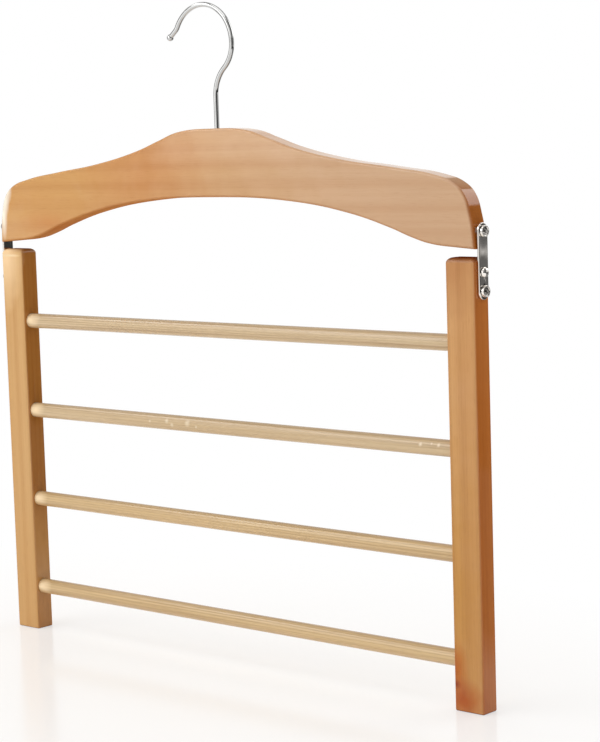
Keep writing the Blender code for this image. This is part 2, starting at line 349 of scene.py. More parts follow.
def makeStainAndLightGroup(look):
    # a soft, ragged spot round one point, used both for real stains and marks and for painted highlights,
    # sheen and shade
    group, given, made = newGroup(
        "stainAndLightSpot",
        {"Vector": "Vector", "Centre": "Vector", "Size": "Vector"},
        {"Mask": "Float"},
    )
    vector = given.outputs["Vector"]
    away = addVectorMath(group, "SUBTRACT", vector, given.outputs["Centre"])
    length = addVectorMath(group, "LENGTH", addVectorMath(group, "DIVIDE", away, given.outputs["Size"]))
    ragged = addMath(group, "SUBTRACT", addNoise(group, vector, look["raggedStretch"], 2), 0.5)
    ragged = addMath(group, "MULTIPLY", ragged, look["raggedDepth"])
    distance = addMath(group, "ADD", length, ragged)
    feed(group, made.inputs["Mask"], addRange(group, distance, look["softFrom"], 1, 1, 0))
    return group


polishGroupLook = {
    "smearStretch": (120, 120, 70),
    "smearEdge": (0.4, 0.75),
    "markStretch": (900, 5200, 900),
}


def makePolishGroup(look):
    # faint wiped smears and hairline marks on polished metal
    group, given, made = newGroup(
        "polish",
        {"Vector": "Vector"},
        {"Smear": "Float", "Height": "Float"},
    )
    vector = given.outputs["Vector"]
    smear = addNoise(group, vector, look["smearStretch"], 4, 0.65)
    feed(group, made.inputs["Smear"], addRange(group, smear, *look["smearEdge"]))
    feed(group, made.inputs["Height"], addNoise(group, vector, look["markStretch"], 2))
    return group


woodGroup = makeWoodGroup(woodGroupLook)
facingGroup = makeFacingGroup()
stainAndLightGroup = makeStainAndLightGroup(stainAndLightGroupLook)
polishGroup = makePolishGroup(polishGroupLook)


def useGroup(tree, group, **values):
    # a label's spaces are written as underscores here
    node = addNode(tree, "ShaderNodeGroup", node_tree=group)
    for label, value in values.items():
        feed(tree, node.inputs[label.replace("_", " ")], value)
    return node


def newMaterial(name):
    material = bpy.data.materials.new(name)
    material.use_nodes = True
    tree = material.node_tree
    return material, tree, tree.nodes["Principled BSDF"]


def ownPlace(tree):
    # each point's place on the piece itself
    return addNode(tree, "ShaderNodeTexCoord").outputs["Object"]


def addBump(tree, shader, height, look):
    bump = addNode(tree, "ShaderNodeBump")
    feed(tree, bump.inputs["Strength"], look["bump"])
    feed(tree, bump.inputs["Distance"], look["bumpDepth"])
    feed(tree, bump.inputs["Height"], height)
    feed(tree, shader.inputs["Normal"], bump.outputs["Normal"])


varnishIndex = 1.5
dullnessEdge = (0.2, 0.8)


def woodMaterial(name, look):
    material, tree, shader = newMaterial(name)
    place = ownPlace(tree)
    # turned and shifted so that X runs along the grain, through its own part of the log
    mapping = addNode(tree, "ShaderNodeMapping")
    feed(tree, mapping.inputs["Location"], look["shift"])
    feed(tree, mapping.inputs["Rotation"], [math.radians(angle) for angle in look["turn"]])
    feed(tree, mapping.inputs["Vector"], place)
    grain = useGroup(
        tree,
        woodGroup,
        Vector=mapping.outputs["Vector"],
        Ring_Density=look["ringDensity"],
        Ring_Depth=look["ringDepth"],
        Fibre_Depth=look["fibreDepth"],
        Pore_Depth=look["poreDepth"],
        Pale=srgb(*look["pale"]),
        Deep=srgb(*look["deep"]),
        Warm=srgb(*look["warm"]),
    )
    colour = grain.outputs["Color"]
    coat = look["coat"]
    for direction, bothWays, sharpness, toneAndShadeColour, isBare in look["tonesAndPaintedShade"]:
        toneAndShade = useGroup(
            tree, facingGroup, Direction=direction, Both_Ways=bothWays, Sharpness=sharpness
        )
        mask = toneAndShade.outputs["Mask"]
        colour = addMix(tree, mask, colour, srgb(*toneAndShadeColour), "MULTIPLY")
        if isBare:
            coat = addMath(tree, "SUBTRACT", 1, mask, clamp=True)
            coat = addMath(tree, "MULTIPLY", coat, look["coat"])
    for centre, size, stainAndLightColour, blend in look["stainsAndPaintedLight"]:
        stainAndLightSpot = useGroup(tree, stainAndLightGroup, Vector=place, Centre=centre, Size=size)
        colour = addMix(tree, stainAndLightSpot.outputs["Mask"], colour, srgb(*stainAndLightColour), blend)
    feed(tree, shader.inputs["Base Color"], colour)
    roughness = addRange(tree, grain.outputs["Dullness"], *dullnessEdge, *look["roughness"])
    feed(tree, shader.inputs["Roughness"], roughness)
    addBump(tree, shader, grain.outputs["Height"], look)
    feed(tree, shader.inputs["Coat Weight"], coat)
    shader.inputs["Coat Roughness"].default_value = look["coatRoughness"]
    shader.inputs["Coat IOR"].default_value = varnishIndex
    shader.inputs["IOR"].default_value = varnishIndex
    shader.inputs["Specular IOR Level"].default_value = look["specular"]
    return material


# facing tones: direction, both ways, sharpness, colour, and whether the varnish is thin there; they darken
# faces turned one way, as grain tone and, on some pieces, as painted shade
# spots: middle, size, colour and how it blends; real stains and knots, and painted highlights, sheen and
# shade
varnishedLook = {
    "turn": (0, 0, 0),
    "shift": (0, 0.05, 0.17),
    "ringDensity": 34.0,
    "ringDepth": 0.30,
    "fibreDepth": 0.40,
    "poreDepth": 0.12,
    "pale": (210, 160, 98),
    "deep": (189, 130, 68),
    "warm": (204, 148, 84),
    "tonesAndPaintedShade": [((1, 0, 0), 1, 1.5, (235, 190, 120), False)],
    "stainsAndPaintedLight": [],
    "roughness": (0.34, 0.46),
    "specular": 0.0,
    "bump": 0.25,
    "bumpDepth": 0.05 * mm,
    "coat": 0.9,
    "coatRoughness": 0.06,
}

paleLook = {
    "turn": (0, 0, 0),
    "shift": (0, 0.006, 0.011),
    "ringDensity": 210.0,
    "ringDepth": 0.35,
    "fibreDepth": 0.80,
    "poreDepth": 0.15,
    "pale": (218, 192, 151),
    "deep": (158, 123, 80),
    "warm": (201, 172, 129),
    "tonesAndPaintedShade": [
        # painted shade: the tops of the bars are darkened, and their undersides a little
        ((0, 0, 1), 0, 4.0, (212, 204, 192), False),
        ((0, 0, -1), 0, 1.5, (247, 242, 234), False),
    ],
    "stainsAndPaintedLight": [],
    "roughness": (0.5, 0.72),
    "specular": 0.3,
    "bump": 0.5,
    "bumpDepth": 0.10 * mm,
    "coat": 0.9,
    "coatRoughness": 0.20,
}

chromeLook = {
    "tint": (0.58, 0.58, 0.57, 1),
    "roughness": (0.03, 0.10),
    "bump": 0.04,
    "bumpDepth": 0.01 * mm,
}

# painted shade: the recess, the hollow in a screw's head, is tinted near black where shade falls inside it
fittingsLook = {
    **chromeLook,
    "tint": (0.95, 0.90, 0.84, 1),
    "recessShadeTint": (0.01, 0.008, 0.006, 1),
    "recessShadeSize": (6.0 * mm, 3.4 * mm, 3.4 * mm),
}


def chromeMaterial(name, look, recess=None):
    material, tree, shader = newMaterial(name)
    place = ownPlace(tree)
    polish = useGroup(tree, polishGroup, Vector=place)
    tint = look["tint"]
    # painted shade: the head's recess is darkened
    if recess:
        size = look["recessShadeSize"]
        stainAndLightSpot = useGroup(tree, stainAndLightGroup, Vector=place, Centre=recess, Size=size)
        tint = addMix(tree, stainAndLightSpot.outputs["Mask"], tint, look["recessShadeTint"])
    feed(tree, shader.inputs["Base Color"], tint)
    shader.inputs["Metallic"].default_value = 1
    roughness = addRange(tree, polish.outputs["Smear"], 0, 1, *look["roughness"])
    feed(tree, shader.inputs["Roughness"], roughness)
    addBump(tree, shader, polish.outputs["Height"], look)
    return material


chrome = chromeMaterial("chrome", chromeLook)
fittings = chromeMaterial("fittings", fittingsLook)
print("stage 2: materials made")


# Hook: one ring of points, carried up the stem, round each bend and out to the ball

hookShape = {
    "wire": 3.0 * mm,
    "sides": 28,
    "loopRadius": 23.3 * mm,
    "sideRadius": 18.7 * mm,
    "neckRadius": 20.7 * mm,
    "lean": 50,
    "loopTurn": 152,
    "flareRadius": 6.0 * mm,
    "flareTurn": 22,
    "tipLength": 6.0 * mm,
    "ball": 4.2 * mm,
    "bendStep": 4,
    "threadPitch": 0.5 * mm,
    "threadDepth": 0.22 * mm,
    "threadTurns": 8,
    "ballSteps": 12,
}


def pushRing(shape, ring, move, scale=1.0, centre=None):
    # carries an open ring of edges on by one step, and grows or shrinks it about its own centre
    made = bmesh.ops.extrude_edge_only(shape, edges=ring)["geom"]
    points = [item for item in made if isinstance(item, bmesh.types.BMVert)]
    bmesh.ops.translate(shape, vec=move, verts=points)
    if scale != 1.0:
        space = Matrix.Translation(-(centre + move))
        bmesh.ops.scale(shape, vec=(scale, scale, scale), space=space, verts=points)
    known = set(points)
    return [
        item
        for item in made
        if isinstance(item, bmesh.types.BMEdge) and known.issuperset(item.verts)
    ]


def bendRing(shape, ring, centre, degrees, step):
    # spins the ring about the Y axis through centre
    points = {point for edge in ring for point in edge.verts}
    made = bmesh.ops.spin(
        shape,
        geom=ring + list(points),
        cent=centre,
        axis=(0, 1, 0),
        dvec=(0, 0, 0),
        angle=math.radians(degrees),
        steps=max(2, round(abs(degrees) / step)),
        use_duplicate=False,
    )["geom_last"]
    return [item for item in made if isinstance(item, bmesh.types.BMEdge)]


def makeHook(size):
    radius = size["wire"] / 2
    lean = math.radians(size["lean"])
    loopCentre = Vector((0, 0, radius - size["loopRadius"]))
    sideCentre = loopCentre + Vector((size["loopRadius"] - size["sideRadius"], 0, 0))
    bendReach = size["sideRadius"] + size["neckRadius"]
    neckCentre = sideCentre + bendReach * Vector((math.cos(lean), 0, -math.sin(lean)))
    bottom = Vector((stemX, 0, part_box("hook")[0].z))

    shape = bmesh.new()
    root = radius - size["threadDepth"]
    bmesh.ops.create_circle(shape, cap_ends=True, radius=root, segments=size["sides"])
    shiftAll(shape, bottom)
    ring = [edge for edge in shape.edges if edge.is_boundary]
    ringCentre = bottom.copy()
    crest = radius / root
    rise = Vector((0, 0, size["threadPitch"] / 2))
    for step in range(2 * size["threadTurns"] + 1):
        ring = pushRing(shape, ring, rise, 1 / crest if step % 2 else crest, ringCentre)
        ringCentre += rise
    ring = pushRing(shape, ring, Vector((0, 0, neckCentre.z - ringCentre.z)))
    ring = bendRing(shape, ring, neckCentre, size["lean"], size["bendStep"])
    ring = bendRing(shape, ring, sideCentre, -size["lean"], size["bendStep"])
    ring = bendRing(shape, ring, loopCentre, -size["loopTurn"], size["bendStep"])
    loopEnd = math.radians(size["loopTurn"])
    outward = Vector((math.cos(loopEnd), 0, math.sin(loopEnd)))
    flareCentre = loopCentre + (size["loopRadius"] + size["flareRadius"]) * outward
    ring = bendRing(shape, ring, flareCentre, size["flareTurn"], size["bendStep"])

    heading = loopEnd - math.radians(size["flareTurn"])
    onward = Vector((-math.sin(heading), 0, math.cos(heading)))
    ringPoints = {point for edge in ring for point in edge.verts}
    ringCentre = sum((point.co for point in ringPoints), Vector()) / len(ringPoints)
    ballRadius = size["ball"] / 2
    neckAngle = math.asin(radius / ballRadius)
    toBall = size["tipLength"] - ballRadius * math.cos(neckAngle)
    ring = pushRing(shape, ring, onward * toBall)
    ringCentre += onward * toBall
    before, steps = neckAngle, size["ballSteps"]
    for step in range(1, steps):
        angle = neckAngle + (math.pi - neckAngle) * step / steps
        move = onward * ballRadius * (math.cos(before) - math.cos(angle))
        ring = pushRing(shape, ring, move, math.sin(angle) / math.sin(before), ringCentre)
        ringCentre += move
        before = angle
    move = onward * ballRadius * (math.cos(before) + 1)
    pole = shape.verts.new(ringCentre + move)
    for edge in ring:
        shape.faces.new((edge.verts[0], edge.verts[1], pole))
    hook = pieceFromMesh("hookWire", meshFromShape("hookWire", shape))
    settle(hook, "hook", "hook", chrome)


makeHook(hookShape)
print("stage 3: hook made")


# Nut and washer in their pocket under the yoke

fixingShape = {
    "bore": 1.62 * mm,
    "edge": 0.2 * mm,
    "edgeSegments": 3,
    "nutSides": 6,
    "washerSides": 48,
}


def makeFixing(name, node, sides, body, size):
    low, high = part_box(node)
    middle = (low + high) / 2
    radius, height = (high.x - low.x) / 2, high.z - low.z
    shape = bmesh.new()
    bmesh.ops.create_cone(
        shape, cap_ends=True, segments=sides, radius1=radius, radius2=radius, depth=height
    )
    roundEdges(shape, shape.edges[:], min(size["edge"], height / 3), size["edgeSegments"])
    shiftAll(shape, middle)
    piece = pieceFromMesh(name, meshFromShape(name, shape))
    finishMesh(piece, [roundCutter(size["bore"], 3 * height, middle)])
    settle(piece, body, node, fittings)


makeFixing("stemNut", "hook_nut", fixingShape["nutSides"], "hook", fixingShape)
makeFixing("stemWasher", "hook_washer", fixingShape["washerSides"], "yoke", fixingShape)


# Yoke: a flat outline, its long edges rounded over, bored for the stem and the pivot screws

yokeShape = {
    "edgeRadius": 1.5 * mm,
    "edgeSegments": 6,
    "curveSteps": 9,
    "mergeWithin": 0.005 * mm,
    "straightWithin": 0.5,
    "rimAngle": 45,
    "cornerInset": 1.4 * mm,
    "cornerRise": 27.0 * mm,
    "cornerStart": 0.93,
    "archRise": 28.3 * mm,
    "boreRadius": 1.8 * mm,
    "boreEase": 0.5 * mm,
    "pocketRadius": 4.3 * mm,
    "pocketDepth": 8.0 * mm,
    "topShares": [
        (0.0, 1.0),
        (0.150, 0.977),
        (0.234, 0.907),
        (0.332, 0.823),
        (0.516, 0.717),
        (0.711, 0.647),
        (0.858, 0.586),
        (0.937, 0.520),
        (0.973, 0.430),
        (0.993, 0.250),
        (0.998, 0.150),
    ],
    "archShares": [
        (0.947, 0.025),
        (0.842, 0.095),
        (0.774, 0.216),
        (0.700, 0.389),
        (0.547, 0.671),
        (0.316, 0.912),
        (0.0, 1.0),
    ],
}

yokeLook = {
    "pale": (223, 183, 144),
    "deep": (200, 149, 105),
    "warm": (216, 168, 125),
    "tonesAndPaintedShade": [
        # the end faces: a deeper end-grain tone, with painted shade where the link plates stand over them
        ((1, 0, 0), 1, 1.5, (214, 152, 76), False),
        # the underside: painted shade, darker beneath the yoke, and thin varnish there
        ((0, 0, -1), 0, 0.7, (228, 205, 180), True),
    ],
    "stainsAndPaintedLight": [
        # painted sheen: the left half is made yellower and the right half slightly bluer, so the right half
        # reads paler as if catching a sheen
        ((-0.13, -halfThickness, -0.10), (0.235, 0.25, 0.25), (243, 227, 182), "MULTIPLY"),
        ((0.18, -halfThickness, -0.10), (0.28, 0.28, 0.28), (243, 246, 251), "MULTIPLY"),
        ((-0.0460, -halfThickness, -0.0980), (0.0650, 0.030, 0.0420), (250, 232, 218), "MULTIPLY"),
        ((-0.1360, -halfThickness, -0.1270), (0.0300, 0.020, 0.0090), (250, 234, 222), "MULTIPLY"),
        # painted highlight: a cream rim down the left end of the front face
        ((-0.1778, -halfThickness, -0.1230), (0.0036, 0.009, 0.0170), (255, 247, 228), "MIX"),
        ((-0.1760, -halfThickness, -0.1130), (0.0042, 0.009, 0.0110), (255, 248, 230), "MIX"),
        ((-0.1730, -halfThickness, -0.1040), (0.0044, 0.009, 0.0110), (255, 249, 232), "MIX"),
    ],
}

screwShape = {
    "shank": 3.5 * mm,
    "root": 2.6 * mm,
    "plainLength": 4.0 * mm,
    "threadPitch": 1.25 * mm,
    "length": 15.0 * mm,
    "pointLength": 3.0 * mm,
    "head": 6.4 * mm,
    "headHeight": 1.4 * mm,
    "rimWidth": 0.62 * mm,
    "rimShare": 0.4,
    "rimSteps": 6,
    "dishDepth": 0.55 * mm,
    "dishShares": [(0, 1), (0.80, 1), (0.93, 0.85)],
    "dome": 5.6 * mm,
    "domeHeight": 2.2 * mm,
    "domeSteps": 10,
    "slotWidth": 0.50 * mm,
    "slotSpan": 2.4 * mm,
    "slotDepth": 1.2 * mm,
    "slotTaper": 0.85,
    "slotTurns": (18, 108),
    "holeGap": 0.3 * mm,
    "turnSteps": 40,
    "sharpestAngle": 40,
}


def screwHole(node, sign, size):
    # a cutter for the blind hole round a screw's shank
    low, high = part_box(node)
    middle = (low + high) / 2
    depth = size["length"] + size["holeGap"]
    outer = low.x if sign < 0 else high.x
    shift = depth / 2 + (size["domeHeight"] if "domed" in node else size["headHeight"])
    place = Vector((outer - sign * shift, middle.y, middle.z))
    return roundCutter(size["shank"] / 2 + size["holeGap"], depth, place, "X", sides=32)


def makeYoke(size):
    halfWidth = (yokeHigh.x - yokeLow.x) / 2
    height = yokeHigh.z - yokeLow.z
    right = [(x * halfWidth, z * height) for x, z in size["topShares"]]
    right.append((halfWidth, 0))
    right += [(x * halfWidth, z * size["archRise"]) for x, z in size["archShares"]]
    outline = []
    for x, z in right:
        # the right end's upper corner is sanded back a little further than the left's
        share = min(1, z / size["cornerRise"]) if x > size["cornerStart"] * halfWidth else 0
        outline.append((x - share * size["cornerInset"], z))
    outline += [(-x, z) for x, z in right[-2:0:-1]]
    curve = bpy.data.curves.new("yokeOutline", "CURVE")
    curve.dimensions = "2D"
    curve.fill_mode = "BOTH"
    curve.resolution_u = size["curveSteps"]
    curve.extrude = halfThickness
    spline = curve.splines.new("BEZIER")
    spline.bezier_points.add(len(outline) - 1)
    for point, (x, z) in zip(spline.bezier_points, outline):
        point.co = (x, z, 0)
        point.handle_left_type = point.handle_right_type = "VECTOR" if z == 0 else "AUTO"
    spline.use_cyclic_u = True
    guide = pieceFromMesh("yokeGuide", curve)
    graph = bpy.context.evaluated_depsgraph_get()
    flat = bpy.data.meshes.new_from_object(guide.evaluated_get(graph))
    bpy.data.objects.remove(guide, do_unlink=True)

    shape = bmesh.new()
    shape.from_mesh(flat)
    bmesh.ops.remove_doubles(shape, verts=shape.verts, dist=size["mergeWithin"])
    straight = math.radians(size["straightWithin"])
    bmesh.ops.dissolve_limit(shape, angle_limit=straight, verts=shape.verts, edges=shape.edges)
    bmesh.ops.recalc_face_normals(shape, faces=shape.faces)
    rimAngle = math.radians(size["rimAngle"])
    rims = [edge for edge in shape.edges if isLevel(edge) and edge.calc_face_angle() > rimAngle]
    roundEdges(shape, rims, size["edgeRadius"], size["edgeSegments"])
    turnAll(shape, Matrix.Rotation(math.radians(90), 3, "X"))
    shiftAll(shape, (stemX, 0, yokeLow.z))
    yoke = pieceFromMesh("yokeBoard", meshFromShape("yokeBoard", shape))

    crestPoint = Vector((stemX, 0, yokeHigh.z))
    archZ = yokeLow.z + size["archRise"]
    bore, ease = size["boreRadius"], size["boreEase"]
    cutters = [
        roundCutter(bore, 3 * height, crestPoint),
        roundCutter(bore, 2 * ease, crestPoint, farRadius=bore + 2 * ease),
        roundCutter(size["pocketRadius"], 2 * size["pocketDepth"], Vector((stemX, 0, archZ))),
    ]
    for side, sign in sideSign.items():
        cutters.append(screwHole(side + "_pivot_screw", sign, screwShape))
    finishMesh(yoke, cutters)
    material = woodMaterial("yokeWood", {**varnishedLook, **yokeLook})
    settle(yoke, "yoke", "yoke", material)


makeYoke(yokeShape)
print("stage 4: yoke made")


# Posts: square-cut sticks with eased edges and four seats for the bars

postShape = {
    "edgeRadius": 1.1 * mm,
    "topRadius": 3.0 * mm,
    "edgeSegments": 5,
    "footEdge": 0.8 * mm,
    "footSegments": 3,
    "footRise": 0.05 * mm,
    "seatGap": 0.12 * mm,
    "seatEnd": 7.0 * mm,
    "seatOverrun": 1.0 * mm,
}

postLooks = {
    "left": {
        "turn": (0, 90, 0),
        "shift": (0, 0.03, 0.21),
        "pale": (212, 167, 107),
        "deep": (188, 133, 72),
        "warm": (205, 154, 89),
        "ringDepth": 0.42,
        "fibreDepth": 0.55,
        "tonesAndPaintedShade": [
            # the sides: painted shade, with some deeper side-grain tone
            ((1, 0, 0), 1, 1.5, (212, 185, 148), False),
            # the top and the foot: a darker end-grain tone, and painted shade on the top under the yoke;
            # thin varnish there
            ((0, 0, 1), 1, 1.2, (162, 128, 100), True),
        ],
        "stainsAndPaintedLight": [
            # painted highlights: a pale patch at the top of the front face and a cream line below its
            # rounded top edge
            ((-0.1780, -halfThickness, -0.1450), (0.018, 0.006, 0.0420), (246, 210, 160), "MIX"),
            ((-0.1735, -halfThickness, postTopZ - 0.0042), (0.012, 0.004, 0.0012), (244, 216, 170), "MIX"),
            # painted bounce light: the inner side made paler towards the foot, as if lit from the floor
            ((-0.1608, 0, floorZ + 0.0450), (0.0025, 0.030, 0.0600), (200, 151, 92), "MIX"),
        ],
    },
    "right": {
        "turn": (0, 90, 0),
        "shift": (0.31, 0.045, -0.155),
        "pale": (218, 166, 110),
        "deep": (176, 117, 64),
        "warm": (200, 143, 85),
        "ringDepth": 0.30,
        "fibreDepth": 0.55,
        "tonesAndPaintedShade": [
            # the +X side: painted shade, with some deeper side-grain tone
            ((1, 0, 0), 0, 1.5, (243, 198, 154), False),
            # the top and the foot: a darker end-grain tone, and painted shade on the top under the yoke;
            # thin varnish there
            ((0, 0, 1), 1, 1.0, (150, 98, 68), True),
        ],
        "stainsAndPaintedLight": [
            # painted shade: the top of the front darkened under the yoke
            ((0.1800, -halfThickness, -0.1400), (0.0300, 0.020, 0.0420), (230, 214, 206), "MULTIPLY"),
            # painted sheen: the lower front is made yellower, so the upper front reads paler as if catching
            # a sheen
            ((0.1800, -halfThickness, -0.3300), (0.0400, 0.020, 0.1500), (239, 227, 166), "MULTIPLY"),
            ((0.1810, -halfThickness, floorZ + 0.0150), (0.0040, 0.009, 0.0032), (200, 135, 50), "MULTIPLY"),
            ((0.1825, -halfThickness, floorZ + 0.0230), (0.0085, 0.012, 0.0200), (238, 178, 50), "MULTIPLY"),
            ((0.1860, -halfThickness, floorZ + 0.0060), (0.0180, 0.012, 0.0140), (230, 160, 48), "MULTIPLY"),
        ],
    },
}


def makePost(side, size):
    low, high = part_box(side + "_post")
    shape = bmesh.new()
    bmesh.ops.create_cube(shape, size=1)
    bmesh.ops.scale(shape, vec=high - low, verts=shape.verts)
    half = (high - low) / 2

    def onCorner(point):
        # on one of the four upright corners, or on the rounding that leads up from it
        inwards = half.x - abs(point.co.x)
        offLine = abs(half.y - abs(point.co.y) - inwards)
        return inwards < size["topRadius"] and offLine < levelTolerance

    def onFoot(point):
        return point.co.z + half.z < size["footRise"]

    top = [edge for edge in shape.edges if all(point.co.z > 0 for point in edge.verts)]
    roundEdges(shape, top, size["topRadius"], size["edgeSegments"])
    corners = [edge for edge in shape.edges if not isLevel(edge) and all(map(onCorner, edge.verts))]
    roundEdges(shape, corners, size["edgeRadius"], size["edgeSegments"])
    foot = [edge for edge in shape.edges if all(map(onFoot, edge.verts))]
    roundEdges(shape, foot, size["footEdge"], size["footSegments"])
    shiftAll(shape, (low + high) / 2)
    post = pieceFromMesh(side + "PostStick", meshFromShape(side + "PostStick", shape))

    sign = sideSign[side]
    cutters = []
    for number in barNumbers:
        barLow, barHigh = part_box(f"bar_{number}")
        radius = (barHigh.z - barLow.z) / 2 + size["seatGap"]
        seatEnd = (high.x if sign > 0 else low.x) - sign * size["seatEnd"]
        inside = (low.x if sign > 0 else high.x) - sign * size["seatOverrun"]
        place = Vector(((seatEnd + inside) / 2, 0, (barLow.z + barHigh.z) / 2))
        cutters.append(roundCutter(radius, abs(seatEnd - inside), place, "X"))
    for kind in ("domed", "lower"):
        cutters.append(screwHole(f"{side}_{kind}_screw", sign, screwShape))
    finishMesh(post, cutters)
    material = woodMaterial(side + "PostWood", {**varnishedLook, **postLooks[side]})
    settle(post, "ladder", side + "_post", material)


for side in sideSign:
    makePost(side, postShape)


# Bars: plain sanded dowels, each with its own stretch of grain

barShape = {"sides": 56, "endEase": 0.6 * mm, "easeSegments": 2}

# the two lower bars are a little more golden
goldenBar = {"pale": (222, 191, 140), "deep": (162, 123, 72), "warm": (206, 172, 120)}
barLooks = [
    {"shift": (0.0, 0.006, 0.201)},
    {"shift": (0.4, 0.013, 0.257)},
    {"shift": (0.9, 0.009, 0.318), **goldenBar},
    {"shift": (1.3, 0.015, 0.374), **goldenBar},
]

# painted highlight: a pale spot where each bar enters the left post
barEndHighlight = {
    "fromPost": 3 * mm,
    "aboveMiddle": 1 * mm,
    "size": (0.010, 0.006, 0.006),
    "colour": (250, 222, 178),
}

# pale dry specks on the second bar: distance along it, height above its middle, size
speckColour = (232, 213, 180)
barSpecks = [
    (-0.0520, 0.0004, 0.0012),
    (-0.0375, 0.0014, 0.0019),
    (-0.0330, -0.0008, 0.0017),
    (-0.0200, 0.0012, 0.0026),
    (-0.0125, -0.0006, 0.0012),
    (0.1590, 0.0016, 0.0015),
    (0.1665, 0.0026, 0.0009),
    (0.1715, 0.0020, 0.0014),
]


def makeBar(number, size):
    low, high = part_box(f"bar_{number}")
    middle = (low + high) / 2
    radius, length = (high.z - low.z) / 2, high.x - low.x
    shape = bmesh.new()
    bmesh.ops.create_cone(
        shape,
        cap_ends=True,
        segments=size["sides"],
        radius1=radius,
        radius2=radius,
        depth=length,
    )
    rims = [edge for edge in shape.edges if isLevel(edge)]
    roundEdges(shape, rims, size["endEase"], size["easeSegments"])
    alongX(shape, 1)
    shiftAll(shape, middle)
    bar = pieceFromMesh(f"bar{number}Dowel", meshFromShape(f"bar{number}Dowel", shape))
    finishMesh(bar)
    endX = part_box("left_post")[1].x + barEndHighlight["fromPost"]
    endPlace = (endX, -radius, middle.z + barEndHighlight["aboveMiddle"])
    stainsAndPaintedLight = [(endPlace, barEndHighlight["size"], barEndHighlight["colour"], "MIX")]
    if number == 2:
        for along, up, width in barSpecks:
            place = (along, -radius, middle.z + up)
            stainsAndPaintedLight.append((place, (width, 2 * width, width), speckColour, "MIX"))
    look = {**paleLook, **barLooks[number - 1], "stainsAndPaintedLight": stainsAndPaintedLight}
    material = woodMaterial(f"bar{number}Wood", look)
    settle(bar, "ladder", f"bar_{number}", material)


for number in barNumbers:
    makeBar(number, barShape)
print("stage 5: posts and bars made")


# Link plates: a circle drawn out into a long shape with round ends

plateShape = {"sides": 48, "edge": 0.45 * mm, "edgeSegments": 4, "holeRadius": 2.05 * mm}


def makePlate(side, size):
    low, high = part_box(side + "_link_plate")
    middle = (low + high) / 2
    radius = (high.y - low.y) / 2
    rise = (high.z - low.z) / 2 - radius
    thickness = high.x - low.x
    shape = bmesh.new()
    bmesh.ops.create_circle(shape, cap_ends=True, radius=radius, segments=size["sides"])
    turnAll(shape, Matrix.Rotation(math.pi / size["sides"], 3, "Z"))
    for sign in (-1, 1):
        end = [point for point in shape.verts if point.co.x * sign > 0]
        bmesh.ops.translate(shape, vec=(sign * rise, 0, 0), verts=end)
    grown = bmesh.ops.extrude_face_region(shape, geom=shape.faces[:])["geom"]
    top = [item for item in grown if isinstance(item, bmesh.types.BMVert)]
    bmesh.ops.translate(shape, vec=(0, 0, thickness), verts=top)
    shiftAll(shape, (0, 0, -thickness / 2))
    rims = [edge for edge in shape.edges if isLevel(edge)]
    roundEdges(shape, rims, size["edge"], size["edgeSegments"])
    alongX(shape, 1)
    shiftAll(shape, middle)
    plate = pieceFromMesh(side + "LinkPlate", meshFromShape(side + "LinkPlate", shape))
    holes = []
    for kind in ("pivot", "domed", "lower"):
        place = Vector((middle.x, 0, nodeMiddle(f"{side}_{kind}_screw").z))
        holes.append(roundCutter(size["holeRadius"], 4 * thickness, place, "X", sides=32))
    finishMesh(plate, holes)
    settle(plate, "ladder", side + "_link_plate", fittings)


for side in sideSign:
    makePlate(side, plateShape)


# Screws: a turned section, and a cross recess in the dished heads

def screwSection(kind, size):
    # points from the middle of the head to the tip: distance from the axis, and height
    if kind == "domed":
        steps, radius = size["domeSteps"], size["dome"] / 2
        section = []
        for step in range(steps + 1):
            angle = math.pi / 2 * step / steps
            section.append((radius * math.sin(angle), size["domeHeight"] * math.cos(angle)))
    else:
        radius, height = size["head"] / 2, size["headHeight"]
        rim, steps = size["rimWidth"], size["rimSteps"]
        rise = rim * size["rimShare"]
        section = [
            ((radius - rim) * across, height - size["dishDepth"] * down)
            for across, down in size["dishShares"]
        ]
        section.append((radius - rim, height - rise))
        for step in range(steps + 1):
            angle = math.pi * step / steps
            across = radius - rim / 2 - rim / 2 * math.cos(angle)
            section.append((across, height - rise + rise * math.sin(angle)))
        section.append((radius, 0))
    shank, root, pitch = size["shank"] / 2, size["root"] / 2, size["threadPitch"]
    depth, threadEnd = size["plainLength"], size["length"] - size["pointLength"]
    section += [(shank, 0), (shank, -depth)]
    while depth + pitch < threadEnd:
        section += [(root, -(depth + pitch / 4)), (root, -(depth + pitch * 3 / 4))]
        section.append((shank, -(depth + pitch)))
        depth += pitch
    section += [(root, -threadEnd), (0, -size["length"])]
    return section


def crossCutters(size, place, sign):
    # two crossed flat blades, narrower at the bottom
    cutters = []
    taper = size["slotTaper"]
    for turn in size["slotTurns"]:
        shape = bmesh.new()
        bmesh.ops.create_cube(shape, size=1)
        blade = (size["slotSpan"], size["slotWidth"], 2 * size["slotDepth"])
        bmesh.ops.scale(shape, vec=blade, verts=shape.verts)
        bottom = [point for point in shape.verts if point.co.z < 0]
        bmesh.ops.scale(shape, vec=(taper, taper, 1), verts=bottom)
        turnAll(shape, Matrix.Rotation(math.radians(turn), 3, "Z"))
        shiftAll(shape, (0, 0, size["headHeight"] - size["dishDepth"]))
        alongX(shape, sign)
        shiftAll(shape, place)
        cutters.append(pieceFromMesh("cutter", meshFromShape("cutter", shape)))
    return cutters


